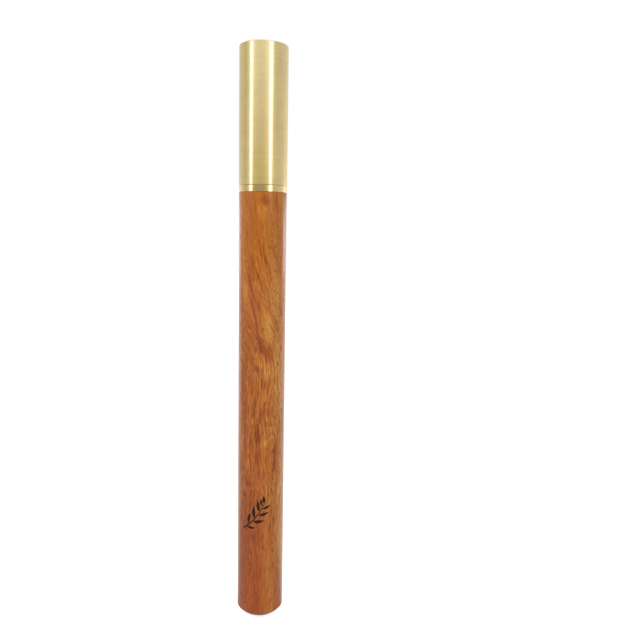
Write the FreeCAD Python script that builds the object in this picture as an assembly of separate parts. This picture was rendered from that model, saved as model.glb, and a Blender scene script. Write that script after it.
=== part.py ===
import FreeCAD, Part
import math
import os
from FreeCAD import Vector

# Screw-cap rollerball pen: hardwood barrel, brass front section, brass cap.
# Millimetres. The pen's axis is Z, the origin is the lowest point of the
# barrel's domed end, and the cap and the writing tip point to +Z.
# Named heights count from the collar's top face, COLLAR_TOP. Sizes ending
# in _R are radii; each outline is a list of (radius, height) corners.

# ---------------------------------------------------------------- overall
BODY_R = 5.5            # wood, collar and cap share one outside radius
WOOD_LEN = 101.8        # domed end to the wood's mouth
COLLAR_H = 1.5          # brass flange between wood and cap
COLLAR_TOP = WOOD_LEN + COLLAR_H

# ---------------------------------------------------------------- barrel
DOME_SAG = 2.6          # height of the spherical end cap
DOME_EDGE_R = 0.7       # softened corner between dome and cylinder
GLUE = 0.02             # bond line between glued pieces
LINER_OUTER_R, LINER_INNER_R = 3.60, 3.30
LINER_CHAMFER = 0.06
LINER_GAP = 0.10        # between liner and bushing
BUSH_R = 4.70
BUSH_LEN = 8.0
BUSH_TOP = -COLLAR_H
BUSH_BOTTOM = BUSH_TOP - BUSH_LEN
BUSH_ENTRY_R = 3.66     # opening at the bushing's lower end
BUSH_RECESS_R = 4.30    # plain recess at its upper end
BUSH_GROOVES = (-4.2, -6.4)
BUSH_GROOVE_DEPTH = 0.15
BUSH_THREAD = dict(bottom=-8.75, top=-2.55)
SEAT_BASE, SEAT_TOP = -97.0, -94.90     # spring seat, without its boss
SEAT_R = LINER_INNER_R - 0.05
SEAT_HOLE_R = 0.6
BOSS_H = 2.9

# ---------------------------------------------------------------- section
FLANGE_GAP = 0.03       # flange's underside over the wood's mouth
UNDERCUT_R = 4.525
CAP_THREAD = dict(pitch=0.9, bottom=1.35, top=5.2, root_r=4.45, crest_r=4.90)
REAR_THREAD = dict(pitch=0.75, bottom=-7.9, top=-2.35, root_r=3.60,
                   crest_r=4.05)
NOSE_CYL_R = 4.05
NOSE_CYL_TOP = 9.1
CONE_BASE_R, CONE_TOP_R = 4.025, 1.82
NOSE_TOP = 22.8
NOSE_EDGE_R = 0.38
SECTION_REAR = -8.4
BORE_TUBE_R = 3.12      # around the refill tube
BORE_HOLDER_R = 2.13    # around the refill's front holder
BORE_TIP_R = 1.28       # around the writing tip
SHOULDER_TUBE = 10.50
SHOULDER_HOLDER = 17.50
O_RING_MEAN_R, O_RING_CORD_R = 3.93, 0.29
O_RING_HEIGHT = -1.82

# ---------------------------------------------------------------- cap
CAP_TOP = 30.7
CAP_MOUTH = 0.05        # clears the collar's top face
CAP_EDGE_R = 0.28
CAP_WALL_R = 5.00       # bore behind the cap's thread
CAP_RIDGE_TIP_R = 4.60
CAP_INSIDE_THREAD = dict(bottom=1.45, top=5.05)
CAP_BORE_R = 4.42
CAP_BORE_END = 28.85
CAP_FIT = 0.03          # end gap of the pieces stacked inside the cap
INNER_CAP_R = CAP_BORE_R - 0.02
INNER_CAP_RELIEF = 0.12     # its outside between the two raised bands
INNER_CAP_BANDS = (15.5, 24.4)      # lower edges of the bands
INNER_CAP_TOP = CAP_BORE_END - CAP_FIT
INNER_CAP_ROOF = 0.8
SEAL_R, SEAL_H = 2.68, 1.05

# ---------------------------------------------------------------- refill
REFILL_LEN = 110.5
REFILL_TIP = 26.70      # ball's foremost point
REFILL_REAR = REFILL_TIP - REFILL_LEN
REFILL_FIT = 0.03       # clearance of the pieces inside the tube
TUBE_OUTER_R, TUBE_INNER_R = 3.00, 2.72
TUBE_INSERT_R = TUBE_INNER_R - REFILL_FIT
TUBE_TOP = 10.20
PLUG_RIM_TOP = REFILL_REAR + 0.52
HOLDER_R = 2.05
HOLDER_TOP = 17.25
TIP_R = 1.175           # standard 2.35 mm rollerball tip
TIP_BOTTOM = 13.05
TIP_CONE = [(TIP_R, 22.50), (1.06, 23.40), (0.84, 24.75), (0.64, 25.75)]
TIP_FEED_R, TIP_DUCT_R, TIP_THROAT_R = 0.84, 0.34, 0.20     # rear to front
BALL_R = 0.35
BALL_CLEAR = 0.03
BALL_CENTRE = REFILL_TIP - BALL_R
SOCKET_LIP = 0.16       # lip's height over the ball centre
SOCKET_STEPS = 10
WICK_R = 0.78

# ---------------------------------------------------------------- threads
FLANK_SLOPE = math.tan(math.radians(30))
HALF_TIP = 0.06         # half the flat on a ridge's tip


# ---------------------------------------------------------------- helpers
def revolve(points):
    """Solid of revolution about Z, heights counted from the origin."""
    corners = [Vector(radius, 0, z) for radius, z in points]
    face = Part.Face(Part.makePolygon(corners + [corners[0]]))
    return face.revolve(Vector(0, 0, 0), Vector(0, 0, 1), 360)


def turned(points):
    """Solid of revolution about Z, heights counted from the collar's top."""
    return revolve([(radius, z + COLLAR_TOP) for radius, z in points])


def fillet_circle(shape, circle_r, z, fillet_r, tolerance=0.02):
    """Rounds the circular edge of the given radius and height."""
    def matches(edge):
        if edge.Length < 0.01:      # a sphere's pole has no curve
            return False
        curve = edge.Curve
        return (isinstance(curve, Part.Circle)
                and abs(curve.Radius - circle_r) < tolerance
                and abs(curve.Center.z - z) < tolerance)

    edges = [edge for edge in shape.Edges if matches(edge)]
    if not edges:
        raise ValueError("no edge to round")
    return shape.makeFillet(fillet_r, edges)


def sweep(path, profile):
    """Solid swept by a closed profile along a helical path."""
    pipe = Part.BRepOffsetAPI.MakePipeShell(path)
    pipe.setFrenetMode(True)
    pipe.add(profile)
    pipe.build()
    pipe.makeSolid()
    return pipe.shape()


def thread_ridge(pitch, start_z, turns, base_r, tip_r):
    """Right-hand trapezoid ridge; start_z is its lowest mid-height at angle 0."""
    half_base = HALF_TIP + FLANK_SLOPE * abs(tip_r - base_r)
    helix = Part.makeHelix(pitch, pitch * turns, base_r)
    helix.translate(Vector(0, 0, start_z))
    corners = [Vector(base_r, 0, start_z - half_base),
               Vector(tip_r, 0, start_z - HALF_TIP),
               Vector(tip_r, 0, start_z + HALF_TIP),
               Vector(base_r, 0, start_z + half_base)]
    return sweep(Part.Wire(helix.Edges),
                 Part.makePolygon(corners + [corners[0]]))


def add_ridge(core, ridge, envelope):
    """Trims the ridge to its envelope and joins it to the core."""
    solid = core.fuse(ridge.common(envelope))
    if len(solid.Solids) != 1 or not solid.isValid():
        raise ValueError("thread did not join its core")
    return solid.Solids[0]


def male_thread(core, thread):
    """Adds an outside thread with chamfered ends."""
    bottom = thread["bottom"] + COLLAR_TOP
    top = thread["top"] + COLLAR_TOP
    pitch, root_r, crest_r = thread["pitch"], thread["root_r"], thread["crest_r"]
    turns = math.ceil((top - bottom) / pitch) + 2
    # the ridge starts inside the core so that the two fuse cleanly
    ridge = thread_ridge(pitch, bottom - pitch, turns, root_r - 0.05, crest_r)
    outer_r = crest_r + 0.05
    chamfer = 0.7 * (crest_r - root_r) + 0.05
    envelope = revolve([
        (0, bottom), (root_r, bottom), (outer_r, bottom + chamfer),
        (outer_r, top - chamfer), (root_r, top), (0, top)])
    return add_ridge(core, ridge, envelope)


def female_thread(core, male, span, wall_r, tip_r):
    """Adds an inside thread whose ridge sits midway between the male turns."""
    pitch = male["pitch"]
    turns = math.ceil((span["top"] - span["bottom"]) / pitch) + 3
    bottom, top = span["bottom"] + COLLAR_TOP, span["top"] + COLLAR_TOP
    start_z = male["bottom"] + COLLAR_TOP - 0.5 * pitch
    while start_z > bottom - pitch:
        start_z -= pitch
    ridge = thread_ridge(pitch, start_z, turns, wall_r + 0.06, tip_r)
    chamfer = 0.8 * (wall_r - tip_r)
    envelope = revolve([
        (wall_r + 0.2, bottom), (wall_r + 0.2, top), (wall_r, top),
        (tip_r - 0.05, top - chamfer), (tip_r - 0.05, bottom + chamfer),
        (wall_r, bottom)])
    return add_ridge(core, ridge, envelope)


def spring(wire_r, mean_r, bottom, top, coils, grind, steps_per_coil):
    """Compression spring with closed ends between two heights from the collar.

    grind is the share of the wire's radius cut flat at each end.
    """
    bottom, top = bottom + COLLAR_TOP, top + COLLAR_TOP
    end_inset = wire_r * (1 - grind)
    low, high = bottom + end_inset, top - end_inset
    closed = 1.0                        # closed coils at each end
    end_pitch = 2 * wire_r * 1.08
    open_pitch = (high - low - 2 * closed * end_pitch) / (coils - 2 * closed)

    # tight ends blended into the open middle
    steps = int(coils * steps_per_coil)
    turns = [coils * i / steps for i in range(steps + 1)]
    pitches = []
    for turn in turns:
        from_end = min(turn, coils - turn)
        blend = min(1.0, max(0.0, (from_end - closed * 0.75) / 0.5))
        blend = blend * blend * (3 - 2 * blend)
        pitches.append(end_pitch + (open_pitch - end_pitch) * blend)
    rises = [0.0]
    for i in range(steps):
        rises.append(rises[-1] + 0.5 * (pitches[i] + pitches[i + 1]))
    points = []
    for turn, rise in zip(turns, rises):
        angle = 2 * math.pi * turn
        points.append(Vector(mean_r * math.cos(angle), mean_r * math.sin(angle),
                             low + (high - low) * rise / rises[-1]))

    curve = Part.BSplineCurve()
    curve.interpolate(points)
    tangent = curve.tangent(curve.FirstParameter)[0]
    circle = Part.Wire(Part.Edge(Part.Circle(points[0], tangent, wire_r)))
    coil = sweep(Part.Wire(curve.toShape()), circle)
    envelope = Part.makeCylinder(mean_r + 4 * wire_r, top - bottom,
                                 Vector(0, 0, bottom))
    return coil.common(envelope).Solids[0]


# ---------------------------------------------------------------- barrel
def wood_barrel():
    """Domed wooden cylinder with a stepped bore for liner and bushing."""
    sphere_r = (DOME_SAG ** 2 + BODY_R ** 2) / (2 * DOME_SAG)
    centre = Vector(0, 0, sphere_r)
    body = Part.makeCylinder(BODY_R, WOOD_LEN)
    ball = Part.makeSphere(sphere_r, centre)
    keep = Part.makeCylinder(BODY_R + 1, WOOD_LEN, centre)
    body = body.common(ball.fuse(keep)).removeSplitter()
    body = fillet_circle(body, BODY_R, DOME_SAG, DOME_EDGE_R, tolerance=0.05)
    liner_r, bush_r = LINER_OUTER_R + GLUE, BUSH_R + GLUE
    floor, step = SEAT_BASE - GLUE, BUSH_BOTTOM - GLUE
    beyond = BUSH_TOP + 1
    return body.cut(turned([(0, floor), (liner_r, floor), (liner_r, step),
                            (bush_r, step), (bush_r, beyond), (0, beyond)]))


def barrel_liner():
    """Thin tube glued into the wood's bore."""
    bottom, top = SEAT_BASE, BUSH_BOTTOM - LINER_GAP
    return turned([
        (LINER_INNER_R, bottom), (LINER_OUTER_R - LINER_CHAMFER, bottom),
        (LINER_OUTER_R, bottom + LINER_CHAMFER),
        (LINER_OUTER_R, top - LINER_CHAMFER),
        (LINER_OUTER_R - LINER_CHAMFER, top), (LINER_INNER_R, top)])


def barrel_bushing():
    """Threaded bushing glued into the barrel's mouth."""
    bottom, top = BUSH_BOTTOM, BUSH_TOP
    wall_r = REAR_THREAD["crest_r"] + 0.10
    core = turned([
        (BUSH_ENTRY_R, bottom), (BUSH_R - 0.15, bottom),
        (BUSH_R, bottom + 0.15), (BUSH_R, top), (BUSH_RECESS_R + 0.06, top),
        (BUSH_RECESS_R, top - 0.06), (BUSH_RECESS_R, top - 0.85),
        (wall_r, top - 1.0), (wall_r, bottom + 0.6),
        (BUSH_ENTRY_R, bottom + 0.3)])
    groove_r = BUSH_R - BUSH_GROOVE_DEPTH
    for z in BUSH_GROOVES:      # glue grooves round the outside
        core = core.cut(turned([
            (groove_r, z - 0.2), (BUSH_R + 1, z - 0.35),
            (BUSH_R + 1, z + 0.35), (groove_r, z + 0.2)]))
    return female_thread(core, REAR_THREAD, BUSH_THREAD, wall_r,
                         REAR_THREAD["crest_r"] - 0.25)


def spring_seat():
    """Moulded cup at the bottom of the bore; its boss centres the spring."""
    base, top = SEAT_BASE, SEAT_TOP
    return turned([
        (SEAT_HOLE_R, base), (SEAT_R - 0.1, base), (SEAT_R, base + 0.1),
        (SEAT_R, top - 0.06), (SEAT_R - 0.06, top), (1.95, top),
        (1.85, top + 0.1), (1.70, top + BOSS_H - 0.3), (1.40, top + BOSS_H),
        (SEAT_HOLE_R, top + BOSS_H)])


def refill_spring():
    """Spring between the seat and the rear of the refill."""
    return spring(wire_r=0.225, mean_r=2.575, bottom=SEAT_TOP + 0.03,
                  top=REFILL_REAR - 0.03, coils=6.5, grind=0.5,
                  steps_per_coil=20)


# ---------------------------------------------------------------- section
def front_section():
    """One turned brass piece: rear thread, collar, cap thread, cone."""
    root_r, rear_root_r = CAP_THREAD["root_r"], REAR_THREAD["root_r"]
    thread_bottom, thread_top = CAP_THREAD["bottom"], CAP_THREAD["top"]
    flange = -COLLAR_H + FLANGE_GAP
    core = turned([
        # outside, rear to front
        (BORE_TUBE_R + 0.12, SECTION_REAR), (rear_root_r - 0.25, SECTION_REAR),
        (rear_root_r, SECTION_REAR + 0.25), (rear_root_r, flange),
        (BODY_R - 0.05, flange), (BODY_R, flange + 0.05),
        (BODY_R, -0.08), (BODY_R - 0.08, 0.0),
        (UNDERCUT_R, 0.0), (UNDERCUT_R, thread_bottom),
        (root_r, thread_bottom + 0.05), (root_r, thread_top),
        (NOSE_CYL_R, thread_top), (NOSE_CYL_R, NOSE_CYL_TOP),
        (CONE_BASE_R, NOSE_CYL_TOP + 0.02), (CONE_TOP_R, NOSE_TOP),
        # stepped bore, front to rear
        (BORE_TIP_R + 0.10, NOSE_TOP), (BORE_TIP_R, NOSE_TOP - 0.10),
        (BORE_TIP_R, SHOULDER_HOLDER), (BORE_HOLDER_R, SHOULDER_HOLDER - 0.30),
        (BORE_HOLDER_R, SHOULDER_TUBE), (BORE_TUBE_R, SHOULDER_TUBE),
        (BORE_TUBE_R, SECTION_REAR + 0.12)])
    core = fillet_circle(core, CONE_TOP_R, NOSE_TOP + COLLAR_TOP, NOSE_EDGE_R)
    return male_thread(male_thread(core, CAP_THREAD), REAR_THREAD)


def section_o_ring():
    """Rubber ring round the section's neck, under the collar."""
    return Part.makeTorus(O_RING_MEAN_R, O_RING_CORD_R,
                          Vector(0, 0, COLLAR_TOP + O_RING_HEIGHT))


# ---------------------------------------------------------------- cap
def cap_shell():
    """Brass cap, closed at the top, with its thread near the mouth."""
    core = turned([
        (CAP_WALL_R + 0.10, CAP_MOUTH), (BODY_R - 0.06, CAP_MOUTH),
        (BODY_R, CAP_MOUTH + 0.06), (BODY_R, CAP_TOP), (0, CAP_TOP),
        (0, CAP_BORE_END), (CAP_BORE_R - 0.2, CAP_BORE_END),
        (CAP_BORE_R, CAP_BORE_END - 0.2), (CAP_BORE_R, 6.0),
        (CAP_WALL_R, 5.45), (CAP_WALL_R, CAP_MOUTH + 0.10)])
    core = fillet_circle(core, BODY_R, CAP_TOP + COLLAR_TOP, CAP_EDGE_R)
    return female_thread(core, CAP_THREAD, CAP_INSIDE_THREAD, CAP_WALL_R,
                         CAP_RIDGE_TIP_R)


def inner_cap():
    """Moulded cup pressed into the cap's closed end; it hoods the nose."""
    relief_r = INNER_CAP_R - INNER_CAP_RELIEF
    mouth_r, inside_r, end_r = 3.78, 3.66, 2.75
    top, ceiling = INNER_CAP_TOP, INNER_CAP_TOP - INNER_CAP_ROOF
    bands = []
    for z in INNER_CAP_BANDS:
        bands += [(relief_r, z), (INNER_CAP_R, z + 0.4),
                  (INNER_CAP_R, z + 2.4), (relief_r, z + 2.8)]
    return turned(
        [(mouth_r + 0.2, 12.0), (INNER_CAP_R - 0.25, 12.0), (relief_r, 12.3)]
        + bands
        + [(relief_r, top - 0.4), (INNER_CAP_R - 0.5, top), (0, top),
           (0, ceiling), (end_r, ceiling), (end_r, 23.6), (inside_r, 21.0),
           (inside_r, 14.2), (mouth_r, 12.2)])


def cap_seal():
    """Soft pad at the closed end of the inner cap, beyond the writing ball."""
    top = INNER_CAP_TOP - INNER_CAP_ROOF - CAP_FIT
    bottom = top - SEAL_H
    return turned([
        (0, bottom + 0.3), (0.55, bottom + 0.12), (0.8, bottom),
        (2.45, bottom), (SEAL_R, bottom + 0.2), (SEAL_R, top - 0.15),
        (SEAL_R - 0.15, top), (0, top)])


# ---------------------------------------------------------------- refill
def refill_tube():
    """Reservoir tube with a rolled crimp that grips the front holder."""
    bottom = PLUG_RIM_TOP + REFILL_FIT
    body = turned([
        (TUBE_INNER_R, bottom), (TUBE_OUTER_R - 0.08, bottom),
        (TUBE_OUTER_R, bottom + 0.08), (TUBE_OUTER_R, TUBE_TOP - 0.25),
        (TUBE_OUTER_R - 0.15, TUBE_TOP), (TUBE_INNER_R, TUBE_TOP)])
    crimp_r = TUBE_OUTER_R - 0.12
    return body.cut(turned([
        (crimp_r, 6.05), (TUBE_OUTER_R + 1, 5.7), (TUBE_OUTER_R + 1, 6.9),
        (crimp_r, 6.55)]))


def refill_front_holder():
    """Moulded holder between the reservoir tube and the writing tip."""
    insert_r, wick_bore_r, tip_bore_r = TUBE_INSERT_R, 0.95, TIP_R + 0.02
    rim_r, rim_bottom, rim_top = 2.86, TUBE_TOP + 0.02, 10.46
    return turned([
        (wick_bore_r, 3.2), (insert_r - 0.3, 3.2), (insert_r, 3.6),
        (insert_r, rim_bottom), (rim_r, rim_bottom), (rim_r, rim_top - 0.06),
        (rim_r - 0.10, rim_top), (HOLDER_R, rim_top), (HOLDER_R, 16.7),
        (HOLDER_R - 0.45, HOLDER_TOP), (tip_bore_r, HOLDER_TOP),
        (tip_bore_r, 13.0), (wick_bore_r, 13.0)])


def writing_tip():
    """Turned nickel-silver tip: cone, ball socket and feed bore."""
    socket_r = BALL_R + BALL_CLEAR
    lip = BALL_CENTRE + SOCKET_LIP
    start = math.asin(SOCKET_LIP / socket_r)
    stop = -math.acos(TIP_THROAT_R / socket_r)
    socket = []
    for i in range(SOCKET_STEPS + 1):
        angle = start + (stop - start) * i / SOCKET_STEPS
        socket.append((socket_r * math.cos(angle),
                       BALL_CENTRE + socket_r * math.sin(angle)))
    return turned(
        [(TIP_FEED_R, TIP_BOTTOM), (TIP_R - 0.10, TIP_BOTTOM),
         (TIP_R, TIP_BOTTOM + 0.25)]
        + TIP_CONE + [(0.50, lip - 0.08), (0.44, lip)] + socket
        + [(TIP_THROAT_R, 25.62), (TIP_DUCT_R, 25.48), (TIP_DUCT_R, 22.6),
           (TIP_FEED_R, 22.1)])


def writing_ball():
    """Ball at the point of the tip."""
    return Part.makeSphere(BALL_R, Vector(0, 0, COLLAR_TOP + BALL_CENTRE))


def ball_spring():
    """Hair spring in the tip's feed bore, behind the ball seat."""
    return spring(wire_r=0.045, mean_r=0.25, bottom=22.75, top=25.45,
                  coils=9.5, grind=0.0, steps_per_coil=16)


def feed_wick():
    """Capillary rod that carries ink from the reservoir to the tip."""
    return turned([
        (0, -3.0), (0.45, -3.0), (WICK_R, -2.4), (WICK_R, 21.2),
        (0.50, 21.9), (0, 21.9)])


def reservoir_film():
    """Thin film sleeve wrapped round the fibre bundle."""
    inner_r, bottom, top = TUBE_INNER_R - 0.09, REFILL_REAR + 3.4, 2.8
    return turned([(inner_r, bottom), (TUBE_INSERT_R, bottom),
                   (TUBE_INSERT_R, top), (inner_r, top)])


def ink_reservoir():
    """Fibre bundle that holds the ink, hollowed in front for the wick."""
    outer_r, hollow_r = TUBE_INNER_R - 0.11, WICK_R + 0.04
    bottom, top = REFILL_REAR + 3.3, 2.9
    return turned([
        (0, bottom), (outer_r - 0.1, bottom), (outer_r, bottom + 0.1),
        (outer_r, top - 0.1), (outer_r - 0.1, top), (hollow_r, top),
        (hollow_r, -2.5), (0.45, -3.1), (0, -3.1)])


def refill_end_plug():
    """Vented plug in the rear of the refill tube; the spring bears on it."""
    rear, rim_r, vent_r, cup_r = REFILL_REAR, TUBE_OUTER_R - 0.02, 0.30, 1.2
    return turned([
        (vent_r, rear), (rim_r - 0.08, rear), (rim_r, rear + 0.1),
        (rim_r, PLUG_RIM_TOP), (TUBE_INSERT_R, PLUG_RIM_TOP),
        (TUBE_INSERT_R, rear + 2.8), (TUBE_INSERT_R - 0.25, rear + 3.1),
        (cup_r, rear + 3.1), (cup_r, rear + 1.1), (vent_r, rear + 0.9)])


# Each piece's file takes its function's name.
PIECES = (
    wood_barrel, barrel_liner, barrel_bushing, spring_seat, refill_spring,
    front_section, section_o_ring, cap_shell, inner_cap, cap_seal,
    refill_tube, refill_front_holder, writing_tip, writing_ball, ball_spring,
    feed_wick, reservoir_film, ink_reservoir, refill_end_plug)

os.makedirs("parts", exist_ok=True)
for make in PIECES:
    name = make.__name__
    shape = make()
    if not shape.isValid() or len(shape.Solids) != 1 or shape.Volume <= 0:
        raise ValueError(name + " is not one valid solid")
    shape.Solids[0].exportStep("parts/" + name + ".step")
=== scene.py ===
"""A brass and hardwood pen with a refill, in a white studio.

The pen's axis is the Z axis. The barrel's domed end is at the bottom, near z = 0, and the
brass front section is above the wood. The camera looks from -Y, so +X is on its right.
"""
import math
import bpy
import bmesh
from mathutils import Matrix, Vector

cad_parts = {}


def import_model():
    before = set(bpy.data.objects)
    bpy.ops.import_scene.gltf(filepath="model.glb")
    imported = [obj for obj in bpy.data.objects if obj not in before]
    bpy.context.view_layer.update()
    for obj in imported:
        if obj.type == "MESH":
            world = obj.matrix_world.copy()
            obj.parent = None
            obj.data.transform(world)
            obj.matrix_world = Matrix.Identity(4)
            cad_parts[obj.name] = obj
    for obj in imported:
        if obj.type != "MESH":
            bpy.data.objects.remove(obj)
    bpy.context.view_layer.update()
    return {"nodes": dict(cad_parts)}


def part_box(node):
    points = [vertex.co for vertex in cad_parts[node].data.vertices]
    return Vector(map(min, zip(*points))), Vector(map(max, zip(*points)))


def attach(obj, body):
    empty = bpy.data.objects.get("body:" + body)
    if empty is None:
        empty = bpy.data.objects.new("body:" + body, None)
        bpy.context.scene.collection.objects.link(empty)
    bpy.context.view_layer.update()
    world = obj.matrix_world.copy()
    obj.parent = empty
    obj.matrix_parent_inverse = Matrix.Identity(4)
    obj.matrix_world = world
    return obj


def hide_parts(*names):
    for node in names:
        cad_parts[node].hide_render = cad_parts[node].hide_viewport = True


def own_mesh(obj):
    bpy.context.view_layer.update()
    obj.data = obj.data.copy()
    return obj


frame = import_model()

MM = 0.001


# ------------------------------------------------------------------ shader graphs
class Signal:
    """A node's output that takes arithmetic; each operator adds one node."""

    def __init__(self, graph, socket):
        self.graph = graph
        self.socket = socket

    def __add__(self, other):
        return self.graph.math("ADD", self, other)

    def __radd__(self, other):
        return self.graph.math("ADD", other, self)

    def __sub__(self, other):
        return self.graph.math("SUBTRACT", self, other)

    def __mul__(self, other):
        return self.graph.math("MULTIPLY", self, other)

    def __gt__(self, other):
        return self.graph.math("GREATER_THAN", self, other)

    def __lt__(self, other):
        return self.graph.math("LESS_THAN", self, other)

    def __abs__(self):
        return self.graph.math("ABSOLUTE", self)

    def ease(self, start, end, to=(0.0, 1.0)):
        """Smooth step from to[0] at start to to[1] at end."""
        return self.graph.value("ShaderNodeMapRange", {
            "Value": self, "From Min": start, "From Max": end,
            "To Min": to[0], "To Max": to[1]}, output="Result", interpolation_type="SMOOTHSTEP")


class Graph:
    """Builds the node tree of a material or a world."""

    def __init__(self, owner):
        self.owner = owner
        owner.use_nodes = True
        self.tree = owner.node_tree
        self.tree.nodes.clear()

    def feed(self, socket, value):
        """Link a Signal, or set a plain value; plain colours are RGB."""
        if isinstance(value, Signal):
            self.tree.links.new(value.socket, socket)
        else:
            socket.default_value = (*value, 1.0) if socket.type == "RGBA" else value

    def node(self, kind, inputs=None, **properties):
        node = self.tree.nodes.new(kind)
        for key, value in properties.items():
            setattr(node, key, value)
        for key, value in (inputs or {}).items():
            self.feed(node.inputs[key], value)
        return node

    def value(self, kind, inputs=None, output=0, **properties):
        return Signal(self, self.node(kind, inputs, **properties).outputs[output])

    def math(self, operation, *values):
        return self.value("ShaderNodeMath", dict(enumerate(values)), operation=operation)

    def noise(self, vector, scale=1.0, detail=3.0, rough=0.5, distortion=0.0, output="Fac"):
        return self.value("ShaderNodeTexNoise", {
            "Vector": vector, "Scale": scale, "Detail": detail, "Roughness": rough,
            "Distortion": distortion}, output=output)

    def streaks(self, axes, across, along, **noise):
        """Noise with its own frequency across and along the Z axis, per mm."""
        x, y, z = axes
        return self.noise(self.combine(x * across, y * across, z * along), **noise)

    def ramp(self, position, stops):
        node = self.node("ShaderNodeValToRGB", {0: position})
        elements = node.color_ramp.elements
        while len(elements) < len(stops):
            elements.new(0.5)
        for element, (place, colour) in zip(elements, stops):
            element.position = place
            element.color = (*colour, 1.0)
        return Signal(self, node.outputs[0])

    def mix(self, amount, first, second):
        """Mix two colours."""
        return self.value("ShaderNodeMix", {0: amount, 6: first, 7: second}, output=2,
                          data_type="RGBA")

    def blend(self, amount, first, second):
        """Mix two numbers."""
        return self.value("ShaderNodeMix", {0: amount, 2: first, 3: second}, data_type="FLOAT")

    def separate(self, vector):
        node = self.node("ShaderNodeSeparateXYZ", {0: vector})
        return [Signal(self, socket) for socket in node.outputs]

    def combine(self, x, y, z):
        return self.value("ShaderNodeCombineXYZ", {0: x, 1: y, 2: z})

    def bump(self, height, depth, strength):
        """Bump normal; depth in mm."""
        return self.value("ShaderNodeBump", {
            "Strength": strength, "Distance": depth * MM, "Height": height})

    def position(self):
        """Object coordinates in mm."""
        place = self.value("ShaderNodeTexCoord", output="Object")
        return self.value("ShaderNodeVectorMath", {0: place, 1: (1 / MM,) * 3},
                          operation="MULTIPLY")

    def azimuth(self, x, y):
        """Degrees round the Z axis from -Y towards +X."""
        return self.math("ARCTAN2", x, y * -1.0) * (180 / math.pi)

    def mix_shader(self, amount, first, second):
        return self.value("ShaderNodeMixShader", {0: amount, 1: first, 2: second})

    def principled(self, **inputs):
        return self.value("ShaderNodeBsdfPrincipled",
                          {key.replace("_", " "): value for key, value in inputs.items()})

    def finish(self, shader, kind="ShaderNodeOutputMaterial"):
        self.node(kind, {0: shader})
        return self.owner


def srgb(*channels):
    """Linear colour from 0-255 sRGB channels."""
    return tuple(c / 255 / 12.92 if c <= 10.3 else ((c / 255 + 0.055) / 1.055) ** 2.4
                 for c in channels)


# ------------------------------------------------------------------ metals
def turned_metal(name, colour, dark, rough, aniso=0.0, line_mm=0.11, patina=0.5,
                 coat_ior=None, coat_rough=None, zones=()):
    """Metal with lathe lines round the pen's axis, line_mm apart; zones as SECTION_ZONES."""
    graph = Graph(bpy.data.materials.new(name))
    position = graph.position()
    axes = graph.separate(position)
    z = axes[2]
    fine = graph.streaks(axes, across=0.16, along=1.0 / line_mm, detail=2.0, rough=0.6)
    wide = graph.streaks(axes, across=0.10, along=2.1, rough=0.6)
    cloud = graph.noise(position, scale=0.22, detail=4.0, rough=0.6)
    speck = graph.noise(position, scale=2.3, detail=2.0)
    # noise, where darkening starts and is full, strength
    for noise, start, end, strength in ((cloud, 0.35, 0.70, patina), (fine, 0.3, 0.7, 0.16),
                                        (wide, 0.35, 0.68, 0.30), (speck, 0.66, 0.80, 0.16)):
        colour = graph.mix(noise.ease(start, end) * strength, colour, dark)
    for low, high, zone_rough, zone_coat_rough, zone_ior, tint, strength in zones:
        inside = (z > low) * (z < high)
        rough = graph.blend(inside, rough, zone_rough)
        coat_rough = graph.blend(inside, coat_rough, zone_coat_rough)
        coat_ior = graph.blend(inside, coat_ior, zone_ior)
        colour = graph.mix(inside * strength, colour, tint)
    wide_rough, fine_rough, wide_coat_rough = 0.10, 0.05, 0.05  # roughness swings
    normal = graph.bump(fine, depth=0.006, strength=0.35)
    inputs = dict(
        Base_Color=colour, Metallic=1.0, Anisotropic=aniso, Anisotropic_Rotation=0.25,
        Roughness=(wide - 0.5) * wide_rough + ((fine - 0.5) * fine_rough + rough),
        Tangent=graph.value("ShaderNodeTangent", direction_type="RADIAL", axis="Z"),
        Normal=normal)
    if coat_ior is not None:
        inputs.update(Coat_Weight=1.0, Coat_IOR=coat_ior, Coat_Normal=normal,
                      Coat_Roughness=(wide - 0.5) * wide_coat_rough + coat_rough)
    return graph.finish(graph.principled(**inputs))


SECTION_DARK, SECTION_BRIGHT = (0.80, 0.575, 0.14), (1.00, 0.67, 0.15)
# low z, high z, roughness, coat roughness, coat IOR, tint, tint strength
SECTION_ZONES = [
    (100.8, 103.32, 0.24, 0.12, 3.4, SECTION_BRIGHT, 1.0),   # collar
    (103.32, 104.62, 0.26, 0.17, 2.4, SECTION_DARK, 0.4),    # undercut
    (104.62, 108.55, 0.30, 0.18, 1.9, SECTION_DARK, 1.0),    # cap thread
    (108.55, 112.42, 0.30, 0.14, 2.5, SECTION_DARK, 0.1),    # cylinder under the cone
]


# ------------------------------------------------------------------ wood
WOOD_DARK, WOOD_LOW, WOOD_MID = srgb(134, 56, 6), srgb(163, 84, 12), srgb(183, 107, 27)
WOOD_HIGH, WOOD_GOLD = srgb(198, 130, 50), srgb(214, 157, 80)
WOOD_HEART, WOOD_RED, WOOD_PORE = srgb(148, 56, 6), srgb(156, 66, 14), srgb(98, 38, 8)
# frequency across and along the grain per mm, detail, roughness, shift of the pattern
GRAIN = {
    "broad": (0.22, 0.030, 2.0, 0.5, 11.0), "streak": (0.85, 0.085, 3.0, 0.6, 3.0),
    "line": (2.8, 0.10, 2.0, 0.55, 7.0), "fibre": (5.0, 0.26, 2.0, 0.6, 23.0),
    "hair": (8.0, 0.85, 2.0, 0.6, 31.0), "heart": (0.62, 0.050, 2.0, 0.5, 41.0),
    "vessel": (2.3, 0.42, 1.0, 0.45, 5.0), "pore": (5.0, 0.75, 1.0, 0.4, 9.0),
}
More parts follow.
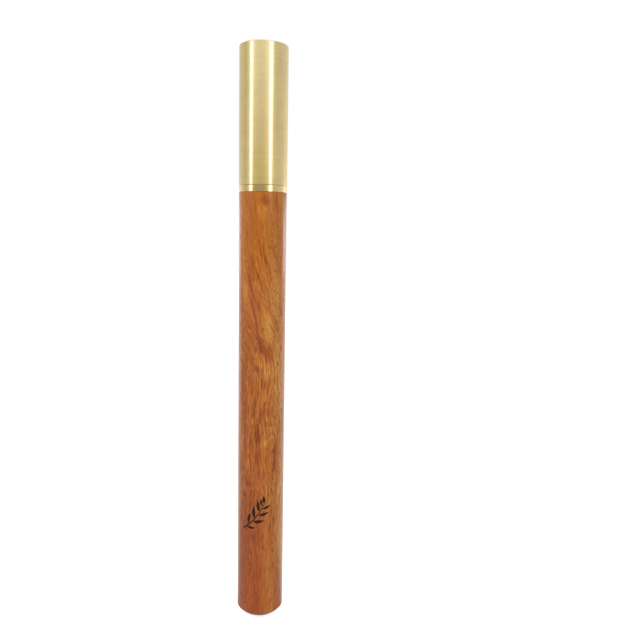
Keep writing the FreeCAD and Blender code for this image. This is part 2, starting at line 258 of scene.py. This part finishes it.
# Patches, a knot and long dark lines:
# centre x, centre z, half width, half length, slant, paler or darker, heart colour
FIGURE = [
    (0.28, 97.95, 1.33, 1.97, 0.0, 0.030, 0.0), (1.60, 71.4, 1.24, 3.9, -0.15, 0.050, 0.0),
    (1.91, 61.4, 1.25, 2.3, -0.10, 0.055, 0.0), (3.91, 58.6, 1.13, 10.4, 0.0, 0.035, 0.0),
    (-3.55, 81.2, 0.58, 5.9, -0.03, 0.040, 0.0), (-0.40, 35.9, 1.38, 3.4, 0.0, 0.030, 0.0),
    (4.64, 28.6, 0.93, 15.0, 0.0, 0.030, 0.0), (3.27, 79.5, 1.01, 5.5, 0.0, 0.035, 0.0),
    (2.00, 44.9, 0.42, 1.7, 0.85, 0.055, 0.0),
    (0.92, 99.9, 1.21, 1.3, -0.20, -0.030, 0.30), (3.51, 99.4, 0.26, 2.0, -0.10, -0.060, 0.10),
    (-2.01, 85.1, 0.67, 2.5, -0.10, -0.015, 0.35), (-2.19, 81.0, 0.24, 3.2, -0.24, -0.085, 0.30),
    (-1.00, 72.7, 0.25, 6.8, -0.20, -0.070, 0.35), (-0.04, 81.8, 0.20, 2.9, -0.22, -0.070, 0.20),
    (0.13, 73.6, 0.20, 5.0, -0.13, -0.065, 0.15), (0.16, 67.0, 0.45, 1.7, -0.35, -0.090, 0.60),
    (1.87, 65.6, 0.95, 1.2, -0.29, -0.035, 0.40), (-0.58, 61.7, 0.25, 1.2, -0.15, -0.090, 0.40),
    (0.59, 58.0, 0.23, 1.2, -0.10, -0.095, 0.40), (-3.80, 55.2, 0.68, 7.6, 0.0, -0.040, 0.45),
    (-3.36, 44.1, 0.50, 3.6, 0.0, -0.045, 0.50), (-0.23, 44.5, 0.82, 5.7, 0.0, -0.050, 0.60),
    (0.41, 51.2, 0.59, 1.7, -0.10, -0.045, 0.45), (3.56, 40.1, 0.20, 5.8, 0.06, -0.070, 0.15),
    (-0.78, 21.7, 1.63, 2.5, 0.0, -0.025, 0.45), (0.13, 88.5, 0.20, 1.6, -0.22, -0.070, 0.10),
    (1.16, 87.2, 0.20, 2.5, -0.26, -0.070, 0.10),
]


def wood_figure(graph, axes):
    """Sum of the FIGURE patches: a tone shift and an amount of heart colour."""
    x, _, z = axes
    wobble = graph.separate(graph.streaks(axes, across=0.8, along=0.30, detail=2.0,
                                          output="Color"))
    wobble_x, wobble_z = 1.3, 3.0  # mm
    figure_x = x + (wobble[0] - 0.5) * wobble_x
    figure_z = z + (wobble[1] - 0.5) * wobble_z
    shade, core = 0.0, 0.0
    for centre_x, centre_z, half_width, half_length, slant, tone, heart in FIGURE:
        along = figure_z - centre_z
        across = (figure_x - centre_x - along * slant) * (1.0 / half_width)
        along = along * (1.0 / half_length)
        patch = (across * across + along * along).ease(0.1, 1.7, to=(1.0, 0.0))
        shade = shade + patch * tone
        if heart:
            core = graph.math("MAXIMUM", core, patch * heart)
    return shade, core


def wood_material():
    """Oiled, interlocked red-brown hardwood, solid in space."""
    graph = Graph(bpy.data.materials.new("oiled_hardwood"))
    axes = graph.separate(graph.position())
    x, y, z = axes
    # the grain leans across the stick in one length of it, and wanders all along
    lean = z.ease(58.0, 96.0, to=(0.0, 9.0))
    wander = graph.separate(graph.streaks(axes, across=0.06, along=0.045, detail=2.0,
                                          output="Color"))
    wander_mm = 5.0
    grain_x = x + lean + (wander[0] - 0.5) * wander_mm
    grain_y = y + (wander[1] - 0.5) * wander_mm

    def grain(name, distortion=0.0):
        across, along, detail, rough, shift = GRAIN[name]
        vector = graph.combine(grain_x * across + shift, grain_y * across, z * along)
        return graph.noise(vector, detail=detail, rough=rough, distortion=distortion)

    broad = grain("broad")
    line = grain("line", distortion=0.2)
    fibre = grain("fibre")
    # each layer's share of the tone
    tone = broad * 0.20 + grain("streak") * 0.11 + (line * 0.31 + fibre * 0.38)
    tone = tone + (grain("hair") - 0.5) * 0.20
    # less contrast towards both ends
    calm = z.ease(50.0, 20.0, to=(0.88, 0.75)) * z.ease(62.0, 90.0, to=(1.0, 0.50))
    old_middle, new_middle = 0.53, 0.531
    tone = (tone - old_middle) * calm + new_middle
    # the +X half is paler than the other, more so towards the domed end: partly the wood's own
    # colour, partly a painted highlight of light falling on the +X side
    half = x.ease(-1.2, 2.6, to=(-0.5, 0.5))
    tone = tone + half * z.ease(96.0, 12.0, to=(0.012, 0.095))
    tone = tone + z.ease(75.0, 5.0, to=(0.0, -0.028))
    # the figure shows on the front only
    shade, core = wood_figure(graph, axes)
    front = y.ease(-1.0, 1.5, to=(1.0, 0.0))
    tone = tone + shade * front
    colour = graph.ramp(tone, [(0.38, WOOD_DARK), (0.46, WOOD_LOW), (0.52, WOOD_MID),
                               (0.58, WOOD_HIGH), (0.66, WOOD_GOLD)])
    heart_strength, red_strength, pore_strength = 0.34, 0.40, 0.55
    # dark red heart streaks
    heart = grain("heart").ease(0.57, 0.68)
    colour = graph.mix(heart * heart_strength, colour, WOOD_HEART)
    core = core * front * line.ease(0.36, 0.62, to=(1.0, 0.45))
    colour = graph.mix(core, colour, WOOD_HEART)
    # redder towards the domed end
    red = z.ease(52.0, 6.0) * broad.ease(0.40, 0.62, to=(1.0, 0.45))
    colour = graph.mix(red * red_strength, colour, WOOD_RED)
    # short dark vessel lines along the grain, more of them near the middle height
    middle_z = 46.0
    threshold = abs(z - middle_z).ease(6.0, 44.0, to=(0.585, 0.66))
    vessel = (grain("vessel") - threshold).ease(0.0, 0.05)
    fine_pore = grain("pore").ease(0.60, 0.68)
    vessel_depth, fine_depth = 0.9, 0.55
    pores = graph.math("MAXIMUM", vessel * vessel_depth, fine_pore * fine_depth)
    colour = graph.mix(pores * pore_strength, colour, WOOD_PORE)
    fibre_height, pore_rough = 0.25, 0.2
    return graph.finish(graph.principled(
        Base_Color=colour, Roughness=0.50 + pores * pore_rough, IOR=1.45,
        Specular_IOR_Level=0.25, Coat_Weight=1.0, Coat_Roughness=0.10, Coat_IOR=1.37,
        Sheen_Weight=0.08, Sheen_Roughness=0.30,
        Normal=graph.bump(fibre * fibre_height - pores, depth=0.015, strength=0.30)))


# ------------------------------------------------------------------ other materials
def plastic(name, colour, rough, depth=0.015, scale=5.0, subsurface=0.0):
    """Moulded plastic or rubber; depth (mm) and scale are of its fine surface grain."""
    graph = Graph(bpy.data.materials.new(name))
    position = graph.position()
    fine = graph.noise(position, scale=scale, rough=0.6)
    cloud = graph.noise(position, scale=0.5, detail=2.0)
    darkening, rough_swing = 0.72, 0.14
    dark = tuple(channel * darkening for channel in colour)
    inputs = dict(Base_Color=graph.mix(cloud.ease(0.3, 0.7, to=(0.0, 0.6)), colour, dark),
                  Roughness=rough + (fine - 0.5) * rough_swing, IOR=1.49,
                  Normal=graph.bump(fine, depth=depth, strength=0.4))
    if subsurface:
        inputs.update(Subsurface_Weight=subsurface,
                      Subsurface_Radius=(0.6 * MM, 0.5 * MM, 0.45 * MM))
    return graph.finish(graph.principled(**inputs))


def fibre_material(name, colour, dark):
    """Fibres that run along the pen's axis."""
    graph = Graph(bpy.data.materials.new(name))
    fibres = graph.streaks(graph.separate(graph.position()), across=6.0, along=0.5,
                           detail=4.0, rough=0.65)
    return graph.finish(graph.principled(
        Base_Color=graph.mix(fibres.ease(0.3, 0.7), dark, colour), Roughness=0.85,
        Sheen_Weight=0.2, Normal=graph.bump(fibres, depth=0.05, strength=0.6)))


def burn_material():
    """Dark brown burned line."""
    graph = Graph(bpy.data.materials.new("burned_line"))
    char = graph.noise(graph.position(), scale=3.5, detail=4.0, rough=0.65)
    colour = graph.mix(char.ease(0.3, 0.7), srgb(26, 13, 11), srgb(52, 27, 20))
    return graph.finish(graph.principled(
        Base_Color=colour, Roughness=0.70, IOR=1.35,
        Normal=graph.bump(char, depth=0.01, strength=0.5)))


BRASS = turned_metal("satin_brass", colour=(0.87, 0.635, 0.125), dark=(0.72, 0.49, 0.08),
                     rough=0.47, coat_ior=3.3, coat_rough=0.15)
BRASS_SECTION = turned_metal("turned_brass", colour=(0.80, 0.565, 0.21), dark=SECTION_DARK,
                             rough=0.38, coat_ior=2.9, coat_rough=0.12, zones=SECTION_ZONES)
BRASS_INNER = turned_metal("brass_internal", colour=(0.86, 0.62, 0.27),
                           dark=(0.60, 0.38, 0.13), rough=0.24, aniso=0.55, line_mm=0.16)
NICKEL = turned_metal("nickel_silver", colour=(0.72, 0.70, 0.66), dark=(0.48, 0.47, 0.44),
                      rough=0.16, aniso=0.55, line_mm=0.06, patina=0.35)
STEEL = turned_metal("spring_steel", colour=(0.63, 0.63, 0.65), dark=(0.38, 0.37, 0.37),
                     rough=0.26, line_mm=0.3)
TUBE = turned_metal("refill_metal", colour=(0.84, 0.84, 0.86), dark=(0.62, 0.62, 0.64),
                    rough=0.24, aniso=0.6, line_mm=0.10, patina=0.4)
CARBIDE = turned_metal("carbide", colour=(0.50, 0.50, 0.53), dark=(0.32, 0.32, 0.34),
                       rough=0.14, line_mm=0.03, patina=0.4)
WOOD = wood_material()
BLACK = plastic("black_plastic", colour=(0.022, 0.022, 0.024), rough=0.38)
WHITE = plastic("white_plastic", colour=(0.78, 0.78, 0.76), rough=0.40, subsurface=0.12)
RUBBER = plastic("black_rubber", colour=(0.016, 0.016, 0.017), rough=0.55, depth=0.03, scale=9.0)
GREY_RUBBER = plastic("grey_rubber", colour=(0.20, 0.20, 0.21), rough=0.55, depth=0.03,
                      scale=9.0)
WICK = fibre_material("wick_fibre", colour=(0.16, 0.17, 0.22), dark=(0.05, 0.05, 0.09))
INK = fibre_material("ink_fibre", colour=(0.045, 0.045, 0.075), dark=(0.012, 0.012, 0.03))
FILM = plastic("clear_film", colour=(0.62, 0.64, 0.68), rough=0.22, depth=0.008, scale=3.0)
BURN = burn_material()

PART_MATERIALS = dict(
    wood_barrel=WOOD, barrel_liner=BRASS_INNER, barrel_bushing=BRASS_INNER,
    spring_seat=BLACK, refill_spring=STEEL, front_section=BRASS_SECTION,
    section_o_ring=RUBBER, cap_shell=BRASS, inner_cap=WHITE, cap_seal=GREY_RUBBER,
    refill_tube=TUBE, refill_front_holder=WHITE, writing_tip=NICKEL,
    writing_ball=CARBIDE, ball_spring=STEEL, feed_wick=WICK, ink_reservoir=INK,
    reservoir_film=FILM, refill_end_plug=BLACK)

for part_name, part_material in PART_MATERIALS.items():
    slots = frame["nodes"][part_name].data.materials
    slots.clear()
    slots.append(part_material)


# ------------------------------------------------------------------ mesh helpers
def add_object(name, data):
    item = bpy.data.objects.new(name, data)
    bpy.context.scene.collection.objects.link(item)
    return item


def add_mesh(build, name):
    mesh = bpy.data.meshes.new(name)
    build.to_mesh(mesh)
    build.free()
    return add_object(name, mesh)


def add_solid(build, name, material):
    """A smooth-shaded object with its normals outwards."""
    bmesh.ops.recalc_face_normals(build, faces=build.faces[:])
    solid = add_mesh(build, name)
    solid.data.materials.append(material)
    solid.data.shade_smooth()
    return solid


# ------------------------------------------------------------------ burned sprig, mm
BARREL_R = 5.5
STROKE_SINK = 0.03       # how deep a stroke's inner face lies in the wood
STROKE_SHOULDER = 0.004  # how far its edges drop below its middle
STROKE_CELLS = 6         # faces across a stroke
SPRIG_AT = (-0.75, 27.3)  # round from the front towards +X, and up
STEM_CURVE = ((-3.3, -3.9), (0.2, -1.6), (2.0, 2.4))  # Bezier points, from SPRIG_AT
STEM_STEPS, LEAF_STEPS = 28, 16
STEM_HALF, STEM_TAPER = 0.17, 0.08
# place along the stem, side (1 is to the right going up the stem), length
LEAVES = ((0.16, 1, 2.1), (0.28, -1, 2.6), (0.41, 1, 2.6), (0.52, -1, 2.9),
          (0.66, 1, 2.4), (0.75, -1, 2.5), (0.89, 1, 2.0), (0.95, -1, 1.7))
# how far strokes stand proud of the barrel; each leaf a little more than the last
STEM_PROUD, LEAF_PROUD, LEAF_PROUD_STEP, TOP_PROUD = 0.009, 0.0082, 0.0002, 0.010


def on_barrel(around, up, radius):
    """A point on the barrel's wall, around measured from the front."""
    angle = around / BARREL_R - math.pi / 2
    return (radius * math.cos(angle) * MM, radius * math.sin(angle) * MM, up * MM)


def stroke(build, line, half_widths, proud):
    """One closed thin shell laid on the wall, along a line of (around, up) points."""
    count, cells = len(line), STROKE_CELLS
    outer, inner = [], []
    for i, (around, up) in enumerate(line):
        around0, up0 = line[max(i - 1, 0)]
        around1, up1 = line[min(i + 1, count - 1)]
        span = math.hypot(around1 - around0, up1 - up0)
        side_around, side_up = -(up1 - up0) / span, (around1 - around0) / span
        outer.append([])
        inner.append([])
        for k in range(cells + 1):
            side = 2 * k / cells - 1
            place = (around + side_around * side * half_widths[i],
                     up + side_up * side * half_widths[i])
            drop = STROKE_SHOULDER * side * side
            outer[i].append(build.verts.new(on_barrel(*place, BARREL_R + proud - drop)))
            inner[i].append(build.verts.new(on_barrel(*place, BARREL_R - STROKE_SINK)))
    face = build.faces.new
    for out0, out1, in0, in1 in zip(outer, outer[1:], inner, inner[1:]):
        for k in range(cells):
            face((out0[k], out0[k + 1], out1[k + 1], out1[k]))
            face((in0[k], in1[k], in1[k + 1], in0[k + 1]))
        face((out0[0], out1[0], in1[0], in0[0]))
        face((out0[cells], in0[cells], in1[cells], out1[cells]))
    for k in range(cells):
        face((outer[0][k], inner[0][k], inner[0][k + 1], outer[0][k + 1]))
        face((outer[-1][k], outer[-1][k + 1], inner[-1][k + 1], inner[-1][k]))


def bezier(start, bend, end, steps):
    points = []
    for i in range(steps + 1):
        t = i / steps
        points.append(tuple((1 - t) ** 2 * a + 2 * t * (1 - t) * b + t * t * c
                            for a, b, c in zip(start, bend, end)))
    return points


def leaf(build, root, bend, tip, fullness, proud):
    """A leaf fullest a little short of its middle."""
    half_widths = [0.035 + fullness * math.sin(math.pi * (k / LEAF_STEPS) ** 0.85)
                   for k in range(LEAF_STEPS + 1)]
    stroke(build, bezier(root, bend, tip, LEAF_STEPS), half_widths, proud)


def step_from(point, angle, distance):
    return (point[0] + math.cos(angle) * distance, point[1] + math.sin(angle) * distance)


def burned_sprig():
    """A plain leaf sprig burned into the wood: a curved stem and nine leaves."""
    build = bmesh.new()
    stem = [(around + SPRIG_AT[0], up + SPRIG_AT[1])
            for around, up in bezier(*STEM_CURVE, STEM_STEPS)]
    stroke(build, stem, [STEM_HALF - STEM_TAPER * i / STEM_STEPS
                         for i in range(STEM_STEPS + 1)], STEM_PROUD)
    for number, (place, side, length) in enumerate(LEAVES):
        i = int(place * STEM_STEPS)
        along = math.atan2(stem[i + 1][1] - stem[i - 1][1], stem[i + 1][0] - stem[i - 1][0])
        angle = along - side * math.radians(50)
        root = step_from(stem[i], angle, 0.22)
        bend = step_from(root, angle, length * 0.55)
        tip = step_from(bend, angle + side * math.radians(22), length * 0.5)
        leaf(build, root, bend, tip, fullness=0.32 * (length / 2.4),
             proud=LEAF_PROUD + LEAF_PROUD_STEP * number)
    around, up = stem[-1]
    leaf(build, (around + 0.02, up + 0.25), (around + 0.05, up + 1.1),
         (around - 0.15, up + 2.0), fullness=0.36, proud=TOP_PROUD)
    sprig = add_solid(build, "burned_leaf_sprig", BURN)
    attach(sprig, "barrel")


# ------------------------------------------------------------------ refill spring, mm
WIRE_R, COIL_R = 0.225, 2.575
COILS, CLOSED_COILS = 6.5, 1.0   # in all, and closed at each end
CLOSED_PITCH = 2 * WIRE_R + 0.02
GROUND_OFF = 0.06                # ground from the wire at each end
WIRE_SIDES, TURN_STEPS = 20, 64


def coil_spring():
    """Compression spring with closed, ground ends, as a swept round wire."""
    low, high = (corner[2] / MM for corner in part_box("refill_spring"))
    start, end = low + WIRE_R - GROUND_OFF, high - WIRE_R + GROUND_OFF
    free_pitch = ((end - start - 2 * CLOSED_COILS * CLOSED_PITCH)
                  / (COILS - 2 * CLOSED_COILS))
    build = bmesh.new()
    rings = []
    for i in range(int(COILS * TURN_STEPS) + 1):
        turn = i / TURN_STEPS
        pitch = CLOSED_PITCH
        if turn < CLOSED_COILS:
            z = start + CLOSED_PITCH * turn
        elif turn > COILS - CLOSED_COILS:
            z = end - CLOSED_PITCH * (COILS - turn)
        else:
            pitch = free_pitch
            z = start + CLOSED_COILS * CLOSED_PITCH + pitch * (turn - CLOSED_COILS)
        angle = 2 * math.pi * turn
        x, y = COIL_R * math.cos(angle), COIL_R * math.sin(angle)
        tangent = Vector((-y, x, pitch / (2 * math.pi))).normalized()
        radial = Vector((math.cos(angle), math.sin(angle), 0))
        binormal = tangent.cross(radial)
        ring = []
        for j in range(WIRE_SIDES):
            turned = 2 * math.pi * j / WIRE_SIDES
            point = Vector((x, y, z)) \
                + radial * WIRE_R * math.cos(turned) + binormal * WIRE_R * math.sin(turned)
            point.z = min(max(point.z, low), high)  # ground flat at both ends
            ring.append(build.verts.new(point * MM))
        rings.append(ring)
    for ring0, ring1 in zip(rings, rings[1:]):
        for j in range(WIRE_SIDES):
            k = (j + 1) % WIRE_SIDES
            build.faces.new((ring0[j], ring0[k], ring1[k], ring1[j]))
    build.faces.new(rings[0])
    build.faces.new(list(reversed(rings[-1])))
    spring = add_solid(build, "refill_spring_coil", STEEL)
    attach(spring, "barrel")
    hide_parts("refill_spring")
    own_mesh(spring)


# ------------------------------------------------------------------ stage
CAMERA_AT = (13.576 * MM, -155.285 * MM, 91.67 * MM)
CAMERA_PITCH, CAMERA_ROLL = math.radians(6.942), math.radians(1.0516)  # down, anticlockwise


def camera():
    lens = bpy.data.cameras.new("camera")
    view = add_object("camera", lens)
    lens.sensor_width = 36.0
    lens.lens = 37.575
    lens.clip_start, lens.clip_end = 0.01, 20.0
    forward = Vector((0, math.cos(CAMERA_PITCH), -math.sin(CAMERA_PITCH)))
    level_up = Vector((0, math.sin(CAMERA_PITCH), math.cos(CAMERA_PITCH)))
    level_right = Vector((1, 0, 0))
    cos_roll, sin_roll = math.cos(CAMERA_ROLL), math.sin(CAMERA_ROLL)
    right = level_right * cos_roll + level_up * sin_roll
    up = -level_right * sin_roll + level_up * cos_roll
    pose = Matrix((right, up, -forward)).transposed().to_4x4()
    pose.translation = Vector(CAMERA_AT)
    view.matrix_world = pose
    bpy.context.scene.camera = view


# Angles are degrees: azimuth from the camera side towards +X, elevation from level.
# azimuth, half width, soft low side, soft high side, level
STRIPS = [(-53.8, 3.2, 9.0, 6.0, 2.4), (-57.0, 7.0, 14.0, 12.0, 0.12),
          (39.6, 3.6, 7.0, 9.0, 2.3), (31.0, 7.0, 16.0, 14.0, 0.22),
          (-87.0, 3.0, 10.0, 7.0, -0.13)]
EDGE_CARD = (130.0, 3.5, 3.0, 5.0, 2.6)
STRIP_LOW, STRIP_FOOT = 0.02, 1.2  # strip factors under their lower edge and near it
CARD_TURN, ROOM_TURN = 4.0, 6.0    # added to azimuth: turn of the card and of the room
CARD_EDGE = (108.0, 122.0)         # azimuths where the back card fades in
CARD_LEVEL = 0.85
SIDE, BACK_EXTRA = (0.46, 0.62), 0.12
FRONT = (0.14, 0.95)               # at eye level, above
CEILING, GROUND = 0.85, 0.60
ROOM_TINT = (1.0, 1.0, 1.0)


def world():
    """White studio: soft room, tall strips in front, lighter behind the pen."""
    studio = bpy.data.worlds.new("studio")
    bpy.context.scene.world = studio
    graph = Graph(studio)
    x, y, z = graph.separate(graph.value("ShaderNodeTexCoord", output="Generated"))
    azimuth = graph.azimuth(x, y)
    height = graph.math("ARCSINE", z) * (180 / math.pi)

    def band(centre, half, low, high, level):
        """A soft-edged band of azimuth, with its own fall-off on each side."""
        offset = azimuth - centre
        distance = abs(offset)
        sides = [distance.ease(half, half + soft, to=(1.0, 0.0)) for soft in (low, high)]
        return graph.blend(offset > 0.0, *sides) * level

    total = band(*STRIPS[0])
    for strip in STRIPS[1:]:
        total = total + band(*strip)
    tall = height.ease(2.2, 4.4, to=(STRIP_LOW, 1.0)) * height.ease(34.0, 50.0, to=(1.0, 0.0))
    tall = tall * height.ease(-75.0, -45.0)
    total = total * (tall * height.ease(5.0, 10.0, to=(STRIP_FOOT, 1.0)))
    # a low white card behind, and a brighter narrow one
    card = (abs(azimuth + CARD_TURN).ease(*CARD_EDGE, to=(0.0, CARD_LEVEL))
            * height.ease(1.5, 4.6, to=(1.0, 0.0)))
    bright = band(*EDGE_CARD) * (height.ease(-13.0, -8.0) * height.ease(1.0, 3.2, to=(1.0, 0.0)))
    total = total + (card + bright)
    # in front, dark at eye level and lighter above; lighter round to the sides
    turned = abs(azimuth + ROOM_TURN)
    side = turned.ease(52.0, 110.0, to=SIDE) + turned.ease(112.0, 150.0, to=(0.0, BACK_EXTRA))
    front = height.ease(0.5, 18.0, to=FRONT)
    level = graph.blend(turned.ease(40.0, 62.0), front, side)
    level = graph.blend(height.ease(35.0, 70.0), level, CEILING)
    level = graph.blend(height.ease(-8.0, -40.0), level, GROUND)
    colour = graph.value("ShaderNodeVectorMath", {0: ROOM_TINT, "Scale": level + total},
                         operation="SCALE")
    room, white = (graph.value("ShaderNodeBackground", {0: shown, 1: 1.0})
                   for shown in (colour, (1, 1, 1)))
    # the camera itself sees plain white
    seen = graph.value("ShaderNodeLightPath", output="Is Camera Ray")
    graph.finish(graph.mix_shader(seen, room, white), "ShaderNodeOutputWorld")


FLOOR_SEEN = 0.76                    # glow seen by the camera
FLOOR_BACK, FLOOR_NEAR = 0.80, 0.60  # glow in reflections behind, and its share near the pen


def floor():
    build = bmesh.new()
    bmesh.ops.create_circle(build, cap_ends=True, segments=128, radius=1.6)
    disc = add_mesh(build, "floor")
    disc.location = (0, 0, -0.00002)
    graph = Graph(bpy.data.materials.new("pale_floor"))
    cloud = graph.noise(graph.position(), scale=0.01, detail=2.0)
    rays = graph.node("ShaderNodeLightPath")
    camera_ray, glossy_ray = (Signal(graph, rays.outputs[key])
                              for key in ("Is Camera Ray", "Is Glossy Ray"))
    x, y, _ = graph.separate(graph.position())
    back = abs(graph.azimuth(x, y) + CARD_TURN).ease(*CARD_EDGE, to=(0.0, FLOOR_BACK))
    near = graph.math("SQRT", x * x + y * y).ease(60.0, 900.0, to=(FLOOR_NEAR, 1.0))
    surface = graph.principled(
        Base_Color=graph.mix(cloud, (0.60, 0.60, 0.595), (0.63, 0.63, 0.625)),
        Roughness=0.9, Emission_Color=(1, 1, 1),
        Emission_Strength=camera_ray * FLOOR_SEEN + back * near * glossy_ray)
    # seen from below, the floor is clear
    below = graph.value("ShaderNodeNewGeometry", output="Backfacing")
    clear = graph.value("ShaderNodeBsdfTransparent")
    disc.data.materials.append(graph.finish(graph.mix_shader(below, surface, clear)))


def key_light():
    key = bpy.data.lights.new("key", "AREA")
    key.shape = "RECTANGLE"
    key.size, key.size_y = 0.5, 0.7
    key.energy = 3.0
    lamp = add_object("key", key)
    lamp.location = (-0.35, -0.65, 0.75)
    aim = Vector((0, 0, 0.07)) - Vector(lamp.location)
    lamp.rotation_mode = "QUATERNION"
    lamp.rotation_quaternion = aim.to_track_quat("-Z", "Y")
    lamp.visible_glossy = False


burned_sprig()
coil_spring()
bpy.context.scene.view_settings.view_transform = "Standard"
bpy.context.scene.view_settings.look = "None"
camera()
world()
floor()
key_light()
